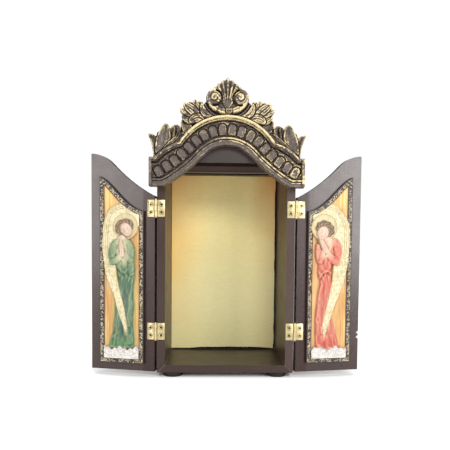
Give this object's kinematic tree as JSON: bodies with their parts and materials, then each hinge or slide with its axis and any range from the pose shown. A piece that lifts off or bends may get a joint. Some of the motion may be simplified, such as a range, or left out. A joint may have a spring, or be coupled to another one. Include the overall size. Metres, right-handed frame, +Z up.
{
  "type": "triptych altarpiece",
  "caption": "Tabletop triptych shrine: open-fronted box on round feet with a cast arched pediment, an empty niche and two ogee-topped hinged doors carrying cast angel reliefs",
  "frame": {"origin": "on the ground, under the middle of the shrine with its doors standing open", "axes": "+X to the right as seen from the front, +Y from the open front to the back, +Z up"},
  "size_m": [0.3275, 0.1188, 0.3512],
  "materials": {
    "dark_paint": "satin dark mauve-brown paint on wood",
    "yellow_paint": "matt pale yellow paint, orange towards the upper corners",
    "bronze_paint": "cast resin painted dark bronze with rubbed gold highlights",
    "plaque_paint": "cast resin, painted in several colours with a speckled gold frame",
    "brass": "bright plated brass",
    "screw_brass": "bright plated brass screws",
    "foot_rubber": "black soft bumper feet"
  },
  "bodies": {
    "case": {"case_side_left": "dark_paint", "case_side_right": "dark_paint", "case_top": "dark_paint", "case_bottom": "dark_paint", "case_back": "dark_paint", "backdrop_panel": "yellow_paint", "lunette_board": "dark_paint", "pediment": "bronze_paint", "foot_front_left": "foot_rubber", "foot_front_right": "foot_rubber", "foot_back_left": "foot_rubber", "foot_back_right": "foot_rubber", "hinge_left_upper_case_leaf": "brass", "hinge_left_upper_pin": "brass", "hinge_left_lower_case_leaf": "brass", "hinge_left_lower_pin": "brass", "hinge_right_upper_case_leaf": "brass", "hinge_right_upper_pin": "brass", "hinge_right_lower_case_leaf": "brass", "hinge_right_lower_pin": "brass", "screw_left_upper_case_low": "screw_brass", "screw_left_upper_case_high": "screw_brass", "screw_left_lower_case_low": "screw_brass", "screw_left_lower_case_high": "screw_brass", "screw_right_upper_case_low": "screw_brass", "screw_right_upper_case_high": "screw_brass", "screw_right_lower_case_low": "screw_brass", "screw_right_lower_case_high": "screw_brass"},
    "left_door": {"door_left": "dark_paint", "plaque_left": "plaque_paint", "hinge_left_upper_door_leaf": "brass", "hinge_left_lower_door_leaf": "brass", "screw_left_upper_door_low": "screw_brass", "screw_left_upper_door_high": "screw_brass", "screw_left_lower_door_low": "screw_brass", "screw_left_lower_door_high": "screw_brass"},
    "right_door": {"door_right": "dark_paint", "plaque_right": "plaque_paint", "hinge_right_upper_door_leaf": "brass", "hinge_right_lower_door_leaf": "brass", "screw_right_upper_door_low": "screw_brass", "screw_right_upper_door_high": "screw_brass", "screw_right_lower_door_low": "screw_brass", "screw_right_lower_door_high": "screw_brass"}
  },
  "joints": [
    {"name": "left_door_hinge", "type": "hinge", "parent": "case", "child": "left_door", "pos_m": [-0.0833, -0.04395, 0.129], "axis": [0, 0, 1], "range_deg": [-0.9, 193.1]},
    {"name": "right_door_hinge", "type": "hinge", "parent": "case", "child": "right_door", "pos_m": [0.0833, -0.04395, 0.129], "axis": [0, 0, 1], "range_deg": [-189.6, 4.4]}
  ]
}
